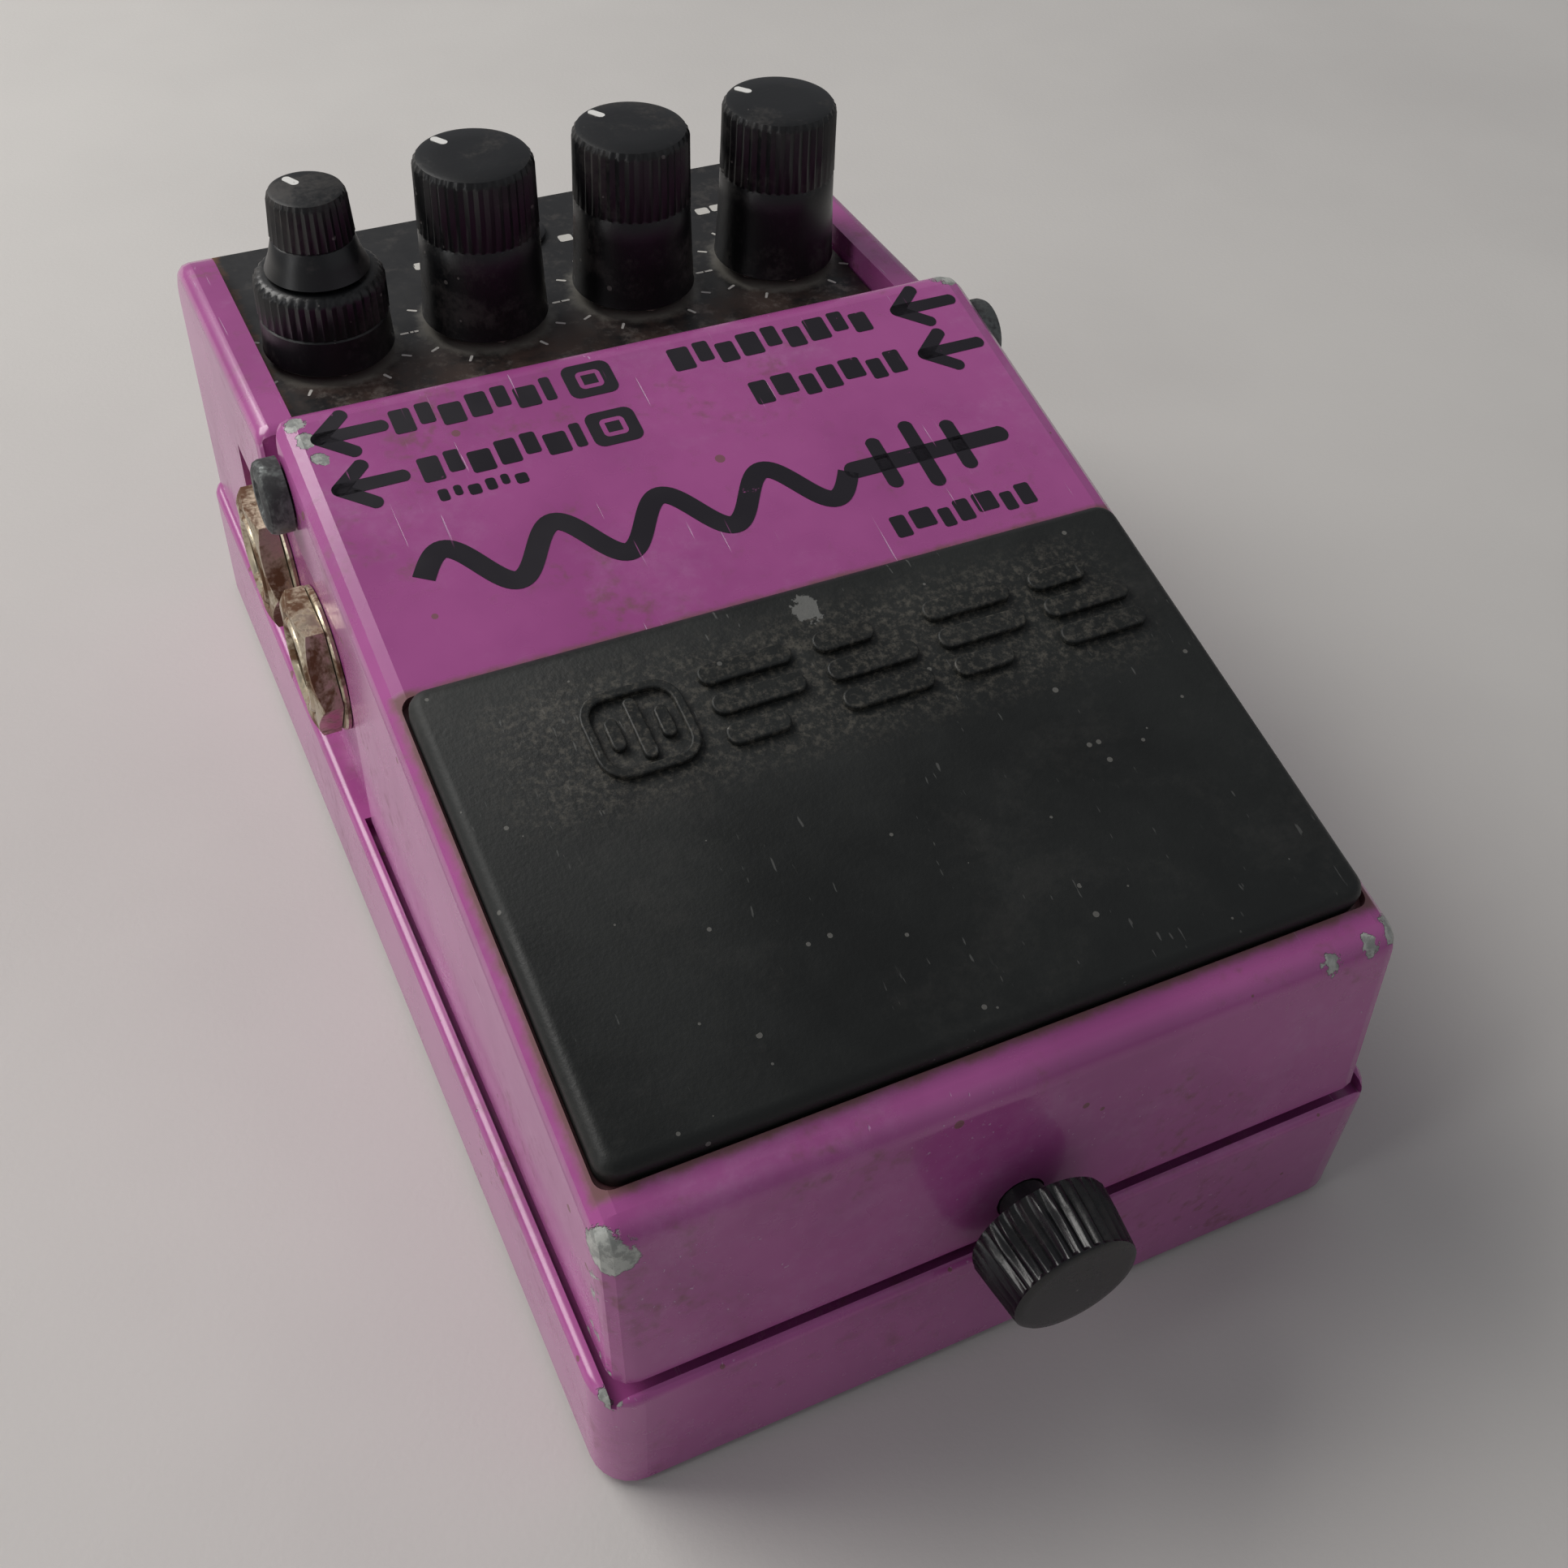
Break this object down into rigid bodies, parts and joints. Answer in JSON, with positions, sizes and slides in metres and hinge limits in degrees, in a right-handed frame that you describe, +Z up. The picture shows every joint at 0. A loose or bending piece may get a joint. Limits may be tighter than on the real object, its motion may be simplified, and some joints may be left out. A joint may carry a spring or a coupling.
{
  "type": "guitar effects pedal",
  "caption": "Compact floor effects pedal: die-cast case, hinged foot treadle with rubber pad and thumbscrew, control knobs behind it and sockets in both sides.",
  "frame": {"origin": "middle of the overall footprint, on the surface that the pedal stands on", "axes": "+Z up; -Y is the front edge with the thumbscrew, +Y the rear with the controls; +X the input side, -X the output side"},
  "size_m": [0.073, 0.129, 0.059],
  "materials": {
    "purple_paint": "glossy, worn",
    "black_rubber": "satin, worn",
    "black_plastic": "satin",
    "nickel": "tarnished",
    "zinc_steel": "satin",
    "dark_steel": "worn",
    "label_black": "satin, dusty",
    "green_board": "satin",
    "red_lens": "clear, unlit",
    "battery_wrap": "satin"
  },
  "bodies": {
    "chassis": {"chassis": "purple_paint", "rubber_base_sheet": "black_rubber", "bottom_plate": "zinc_steel", "treadle_spring": "zinc_steel", "base_screw_1": "zinc_steel", "base_screw_2": "zinc_steel", "base_screw_3": "zinc_steel", "base_screw_4": "zinc_steel", "pot_dual": "zinc_steel", "pot_second": "zinc_steel", "pot_third": "zinc_steel", "pot_fourth": "zinc_steel", "footswitch_body": "black_plastic", "guide_bush": "black_plastic", "led_bezel": "black_plastic", "dc_jack": "black_plastic", "battery_snap": "black_plastic", "control_panel": "label_black", "led_lens": "red_lens", "main_board": "green_board", "pot_board": "green_board", "battery": "battery_wrap", "pot_nut_dual": "nickel", "pot_nut_second": "nickel", "pot_nut_third": "nickel", "pot_nut_fourth": "nickel", "jack_output_front": "nickel", "jack_output_rear": "nickel", "jack_input_front": "nickel", "jack_input_rear": "nickel", "jack_washer_output_front": "nickel", "jack_washer_output_rear": "nickel", "jack_washer_input_front": "nickel", "jack_washer_input_rear": "nickel", "jack_nut_output_front": "nickel", "jack_nut_output_rear": "nickel", "jack_nut_input_front": "nickel", "jack_nut_input_rear": "nickel", "hinge_pin": "zinc_steel"},
    "treadle": {"treadle": "purple_paint", "treadle_pad": "black_rubber", "treadle_tip": "black_rubber", "hinge_bush_left": "dark_steel", "hinge_bush_right": "dark_steel"},
    "screw_ring": {"thumbscrew_ring": "zinc_steel"},
    "thumbscrew": {"thumbscrew": "black_plastic"},
    "footswitch_plunger": {"footswitch_plunger": "black_plastic"},
    "knob_dual_outer": {"knob_dual_outer": "black_plastic", "shaft_dual_outer": "nickel"},
    "knob_dual_inner": {"knob_dual_inner": "black_plastic", "shaft_dual_inner": "nickel"},
    "knob_second": {"knob_second": "black_plastic", "shaft_second": "nickel"},
    "knob_third": {"knob_third": "black_plastic", "shaft_third": "nickel"},
    "knob_fourth": {"knob_fourth": "black_plastic", "shaft_fourth": "nickel"}
  },
  "joints": [
    {"name": "treadle_hinge", "type": "hinge", "parent": "chassis", "child": "treadle", "pos_m": [0, 0.019, 0.0435], "axis": [-1, 0, 0], "range_deg": [-1.3, 60], "stiffness_Nm_per_rad": 0.25, "springref_deg": 5.27},
    {"name": "screw_travel", "type": "slide", "parent": "treadle", "child": "screw_ring", "axis": [0, 1, 0], "range_m": [-0.0014, 0.0003]},
    {"name": "screw_turn", "type": "hinge", "parent": "screw_ring", "child": "thumbscrew", "pos_m": [0, -0.0645, 0.0188], "axis": [0, 1, 0], "range_deg": [-721, 155]},
    {"name": "switch_travel", "type": "slide", "parent": "chassis", "child": "footswitch_plunger", "axis": [0, 0, 1], "range_m": [-0.0006, 0], "stiffness_N_per_m": 300, "springref_m": 0.0003},
    {"name": "knob_dual_outer_turn", "type": "hinge", "parent": "chassis", "child": "knob_dual_outer", "pos_m": [-0.02385, 0.0425, 0.0424], "axis": [0, 0, 1], "range_deg": [-150, 150]},
    {"name": "knob_dual_inner_turn", "type": "hinge", "parent": "chassis", "child": "knob_dual_inner", "pos_m": [-0.02385, 0.0425, 0.0424], "axis": [0, 0, 1], "range_deg": [-178, 122]},
    {"name": "knob_second_turn", "type": "hinge", "parent": "chassis", "child": "knob_second", "pos_m": [-0.00795, 0.0425, 0.0424], "axis": [0, 0, 1], "range_deg": [-182, 118]},
    {"name": "knob_third_turn", "type": "hinge", "parent": "chassis", "child": "knob_third", "pos_m": [0.00795, 0.0425, 0.0424], "axis": [0, 0, 1], "range_deg": [-183, 117]},
    {"name": "knob_fourth_turn", "type": "hinge", "parent": "chassis", "child": "knob_fourth", "pos_m": [0.02385, 0.0425, 0.0424], "axis": [0, 0, 1], "range_deg": [-90, 0]}
  ],
  "couplings": [
    {"joint": "screw_turn", "follows": "screw_travel", "rad_per_m": 8976}
  ]
}
